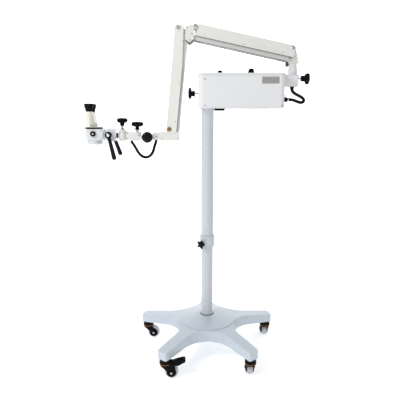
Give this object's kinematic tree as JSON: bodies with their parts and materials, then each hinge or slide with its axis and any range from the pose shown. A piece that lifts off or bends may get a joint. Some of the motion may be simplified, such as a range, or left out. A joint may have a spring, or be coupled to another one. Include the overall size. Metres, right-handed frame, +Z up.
{
  "type": "floor stand operating microscope",
  "caption": "Binocular operating microscope on a sprung double arm, with a lamp box on a sliding column and a five-arm caster base.",
  "frame": {"origin": "on the floor under the column axis", "axes": "+Z up along the column; the lamp box lies towards +X and the microscope hangs towards -X; its controls face -Y"},
  "size_m": [1.097, 0.7095, 1.6332],
  "materials": {
    "base_paint": "smooth light blue-grey enamel on cast iron",
    "column_paint": "smooth light lavender-grey enamel",
    "case_paint": "fine-textured light grey powder coat",
    "block_paint": "fine-textured light grey powder coat",
    "arm_paint": "satin off-white enamel",
    "link_paint": "satin light blue-grey enamel",
    "scope_paint": "satin white enamel",
    "cream_paint": "satin cream enamel",
    "caster_black": "black housing and fork",
    "knob_black": "moulded black plastic",
    "cable_black": "matt black cable jacket",
    "eyecup_black": "soft black rubber",
    "drum_black": "black anodised",
    "tyre_grey": "light grey non-marking tread",
    "steel": "turned steel",
    "bare_aluminium": "folded sheet and extrusion",
    "fan_plastic": "moulded fan frame",
    "lens_glass": "coated optical glass"
  },
  "bodies": {
    "base": {"base_casting": "base_paint", "lower_tube": "column_paint"},
    "caster_front_left": {"fork_front_left": "caster_black"},
    "wheel_front_left": {"wheel_front_left": "tyre_grey"},
    "pedal_left": {"pedal_left": "caster_black"},
    "caster_front_right": {"fork_front_right": "caster_black"},
    "wheel_front_right": {"wheel_front_right": "tyre_grey"},
    "pedal_right": {"pedal_right": "caster_black"},
    "caster_left": {"fork_left": "caster_black"},
    "wheel_left": {"wheel_left": "tyre_grey"},
    "caster_right": {"fork_right": "caster_black"},
    "wheel_right": {"wheel_right": "tyre_grey"},
    "caster_back": {"fork_back": "caster_black"},
    "wheel_back": {"wheel_back": "tyre_grey"},
    "column": {"upper_tube": "column_paint", "clamp_collar": "column_paint"},
    "column_knob": {"column_knob": "knob_black"},
    "box": {"lamp_case": "case_paint", "case_lid": "case_paint", "vent_grille": "bare_aluminium", "side_block": "block_paint", "mains_inlet": "knob_black", "lamp_house": "bare_aluminium", "cooling_fan": "fan_plastic", "power_supply": "bare_aluminium", "guide_connector": "knob_black", "guide_lead": "cable_black"},
    "box_knob": {"box_knob": "knob_black"},
    "block_knob": {"block_knob": "knob_black"},
    "power_button": {"power_button": "knob_black"},
    "dimmer_knob": {"dimmer_knob": "knob_black"},
    "post": {"yoke": "arm_paint"},
    "upper_arm": {"upper_link": "arm_paint", "balance_spring": "steel"},
    "lower_arm": {"lower_link": "link_paint"},
    "elbow": {"elbow": "arm_paint"},
    "drop_arm": {"drop_link": "arm_paint"},
    "rear_arm": {"rear_link": "link_paint"},
    "bracket": {"drop_bracket": "arm_paint", "loop_cable": "cable_black"},
    "swivel_link": {"swivel_link": "arm_paint"},
    "pitch_knob": {"pitch_knob": "knob_black"},
    "carrier": {"carrier_arm": "arm_paint"},
    "arm_knob": {"arm_knob": "knob_black"},
    "head_swivel": {"barrel": "arm_paint"},
    "head_knob": {"head_knob": "knob_black"},
    "tilt_ring": {"tilt_ring": "knob_black"},
    "tilt_housing": {"tilt_housing": "arm_paint"},
    "head": {"scope_body": "scope_paint", "objective_lens": "lens_glass", "binocular": "cream_paint"},
    "front_lever": {"front_lever": "knob_black"},
    "rear_lever": {"rear_lever": "knob_black"},
    "mag_drum": {"mag_knob": "drum_black"},
    "focus_ring": {"objective_ring": "scope_paint"},
    "filter_lever": {"filter_lever": "steel"},
    "eyepiece_near": {"eyepiece_near": "eyecup_black"},
    "eyepiece_far": {"eyepiece_far": "eyecup_black"}
  },
  "joints": [
    {"name": "swivel_front_left", "type": "hinge", "parent": "base", "child": "caster_front_left", "pos_m": [-0.20102, -0.27668, 0.1], "axis": [0, 0, 1], "continuous": true},
    {"name": "roll_front_left", "type": "hinge", "parent": "caster_front_left", "child": "wheel_front_left", "pos_m": [-0.17102, -0.27668, 0.0315], "axis": [0, 1, 0], "continuous": true},
    {"name": "brake_left", "type": "hinge", "parent": "caster_front_left", "child": "pedal_left", "pos_m": [-0.16202, -0.27668, 0.072], "axis": [0, 1, 0], "range_deg": [0, 12]},
    {"name": "swivel_front_right", "type": "hinge", "parent": "base", "child": "caster_front_right", "pos_m": [0.20102, -0.27668, 0.1], "axis": [0, 0, 1], "continuous": true},
    {"name": "roll_front_right", "type": "hinge", "parent": "caster_front_right", "child": "wheel_front_right", "pos_m": [0.20102, -0.24668, 0.0315], "axis": [-1, 0, 0], "continuous": true},
    {"name": "brake_right", "type": "hinge", "parent": "caster_front_right", "child": "pedal_right", "pos_m": [0.20102, -0.23768, 0.072], "axis": [-1, 0, 0], "range_deg": [0, 12]},
    {"name": "swivel_left", "type": "hinge", "parent": "base", "child": "caster_left", "pos_m": [-0.32526, 0.10568, 0.1], "axis": [0, 0, 1], "continuous": true},
    {"name": "roll_left", "type": "hinge", "parent": "caster_left", "child": "wheel_left", "pos_m": [-0.29526, 0.10568, 0.0315], "axis": [0, 1, 0], "continuous": true},
    {"name": "swivel_right", "type": "hinge", "parent": "base", "child": "caster_right", "pos_m": [0.32526, 0.10568, 0.1], "axis": [0, 0, 1], "continuous": true},
    {"name": "roll_right", "type": "hinge", "parent": "caster_right", "child": "wheel_right", "pos_m": [0.32526, 0.13568, 0.0315], "axis": [-1, 0, 0], "continuous": true},
    {"name": "swivel_back", "type": "hinge", "parent": "base", "child": "caster_back", "pos_m": [0, 0.342, 0.1], "axis": [0, 0, 1], "continuous": true},
    {"name": "roll_back", "type": "hinge", "parent": "caster_back", "child": "wheel_back", "pos_m": [0.015, 0.36798, 0.0315], "axis": [-0.866, 0.5, 0], "continuous": true},
    {"name": "column_slide", "type": "slide", "parent": "base", "child": "column", "axis": [0, 0, 1], "range_m": [-0.25, 0.15]},
    {"name": "column_clamp", "type": "hinge", "parent": "column", "child": "column_knob", "pos_m": [0, 0, 0.583], "axis": [-0.5519, -0.8339, 0], "continuous": true},
    {"name": "box_swivel", "type": "hinge", "parent": "column", "child": "box", "pos_m": [0, 0, 1.3], "axis": [0, 0, 1], "range_deg": [-150, 150]},
    {"name": "box_clamp", "type": "hinge", "parent": "box", "child": "box_knob", "pos_m": [-0.06, 0, 1.321], "axis": [-1, 0, 0], "continuous": true},
    {"name": "post_clamp", "type": "hinge", "parent": "box", "child": "block_knob", "pos_m": [0.44, 0, 1.391], "axis": [1, 0, 0], "continuous": true},
    {"name": "power_press", "type": "slide", "parent": "box", "child": "power_button", "axis": [0, 0, -1], "range_m": [0, 0.004], "stiffness_N_per_m": 400, "springref_m": -0.002},
    {"name": "dimmer_turn", "type": "hinge", "parent": "box", "child": "dimmer_knob", "pos_m": [0.2, -0.06, 1.41], "axis": [0, 0, 1], "range_deg": [0, 280]},
    {"name": "post_swivel", "type": "hinge", "parent": "box", "child": "post", "pos_m": [0.404, 0, 1.42], "axis": [0, 0, 1], "range_deg": [-120, 120]},
    {"name": "arm_lift", "type": "hinge", "parent": "post", "child": "upper_arm", "pos_m": [0.397, 0, 1.525], "axis": [0, 1, 0], "range_deg": [-18, 8]},
    {"name": "lower_follow", "type": "hinge", "parent": "post", "child": "lower_arm", "pos_m": [0.3838, 0, 1.481], "axis": [0, 1, 0], "range_deg": [-18, 8]},
    {"name": "elbow_level", "type": "hinge", "parent": "upper_arm", "child": "elbow", "pos_m": [-0.05813, 0, 1.62224], "axis": [0, 1, 0], "range_deg": [-8, 18]},
    {"name": "arm_swing", "type": "hinge", "parent": "elbow", "child": "drop_arm", "pos_m": [-0.1395, 0, 1.6155], "axis": [0, 1, 0], "range_deg": [-1.5, 35]},
    {"name": "rear_follow", "type": "hinge", "parent": "elbow", "child": "rear_arm", "pos_m": [-0.105, 0, 1.5845], "axis": [0, 1, 0], "range_deg": [-1.5, 35]},
    {"name": "bracket_level", "type": "hinge", "parent": "drop_arm", "child": "bracket", "pos_m": [-0.18597, 0, 1.15243], "axis": [0, 1, 0], "range_deg": [-35, 1.5]},
    {"name": "carrier_pitch", "type": "hinge", "parent": "bracket", "child": "swivel_link", "pos_m": [-0.29, 0, 1.115], "axis": [0, 1, 0], "range_deg": [-20, 15], "deforming": ["loop_cable"]},
    {"name": "pitch_clamp", "type": "hinge", "parent": "bracket", "child": "pitch_knob", "pos_m": [-0.29, 0, 1.115], "axis": [0, -1, 0], "continuous": true},
    {"name": "arm_turn", "type": "hinge", "parent": "swivel_link", "child": "carrier", "pos_m": [-0.343, 0, 1.12], "axis": [0, 0, 1], "range_deg": [-40, 40]},
    {"name": "arm_clamp", "type": "hinge", "parent": "carrier", "child": "arm_knob", "pos_m": [-0.343, 0, 1.17], "axis": [0, 0, 1], "continuous": true},
    {"name": "head_turn", "type": "hinge", "parent": "carrier", "child": "head_swivel", "pos_m": [-0.416, 0, 1.12], "axis": [0, 0, 1], "range_deg": [-45, 45]},
    {"name": "head_clamp", "type": "hinge", "parent": "carrier", "child": "head_knob", "pos_m": [-0.416, 0, 1.19], "axis": [0, 0, 1], "continuous": true},
    {"name": "roll_lock", "type": "hinge", "parent": "head_swivel", "child": "tilt_ring", "pos_m": [-0.44, 0, 1.1215], "axis": [-1, 0, 0], "continuous": true},
    {"name": "head_roll", "type": "hinge", "parent": "head_swivel", "child": "tilt_housing", "pos_m": [-0.45, 0, 1.1215], "axis": [-1, 0, 0], "range_deg": [-30, 30]},
    {"name": "head_tilt", "type": "hinge", "parent": "tilt_housing", "child": "head", "pos_m": [-0.474, 0, 1.1255], "axis": [0, 1, 0], "range_deg": [-16, 16]},
    {"name": "front_lock", "type": "hinge", "parent": "tilt_housing", "child": "front_lever", "pos_m": [-0.474, 0, 1.1255], "axis": [0, 1, 0], "range_deg": [-12, 20]},
    {"name": "rear_lock", "type": "hinge", "parent": "tilt_housing", "child": "rear_lever", "pos_m": [-0.474, 0, 1.1255], "axis": [0, 1, 0], "range_deg": [-12, 20]},
    {"name": "magnification_turn", "type": "hinge", "parent": "head", "child": "mag_drum", "pos_m": [-0.551, 0, 1.131], "axis": [0, -1, 0], "range_deg": [-60, 60]},
    {"name": "focus_turn", "type": "hinge", "parent": "head", "child": "focus_ring", "pos_m": [-0.551, 0, 1.09], "axis": [0, 0, 1], "range_deg": [-100, 100]},
    {"name": "filter_slide", "type": "slide", "parent": "head", "child": "filter_lever", "axis": [1, 0, 0], "range_m": [0, 0.012]},
    {"name": "near_dioptre", "type": "hinge", "parent": "head", "child": "eyepiece_near", "pos_m": [-0.568, -0.027, 1.24], "axis": [0, 0, 1], "range_deg": [-90, 90]},
    {"name": "far_dioptre", "type": "hinge", "parent": "head", "child": "eyepiece_far", "pos_m": [-0.568, 0.027, 1.24], "axis": [0, 0, 1], "range_deg": [-90, 90]}
  ],
  "couplings": [
    {"joint": "lower_follow", "follows": "arm_lift", "ratio": 1},
    {"joint": "elbow_level", "follows": "arm_lift", "ratio": -1},
    {"joint": "rear_follow", "follows": "arm_swing", "ratio": 1},
    {"joint": "bracket_level", "follows": "arm_swing", "ratio": -1}
  ]
}
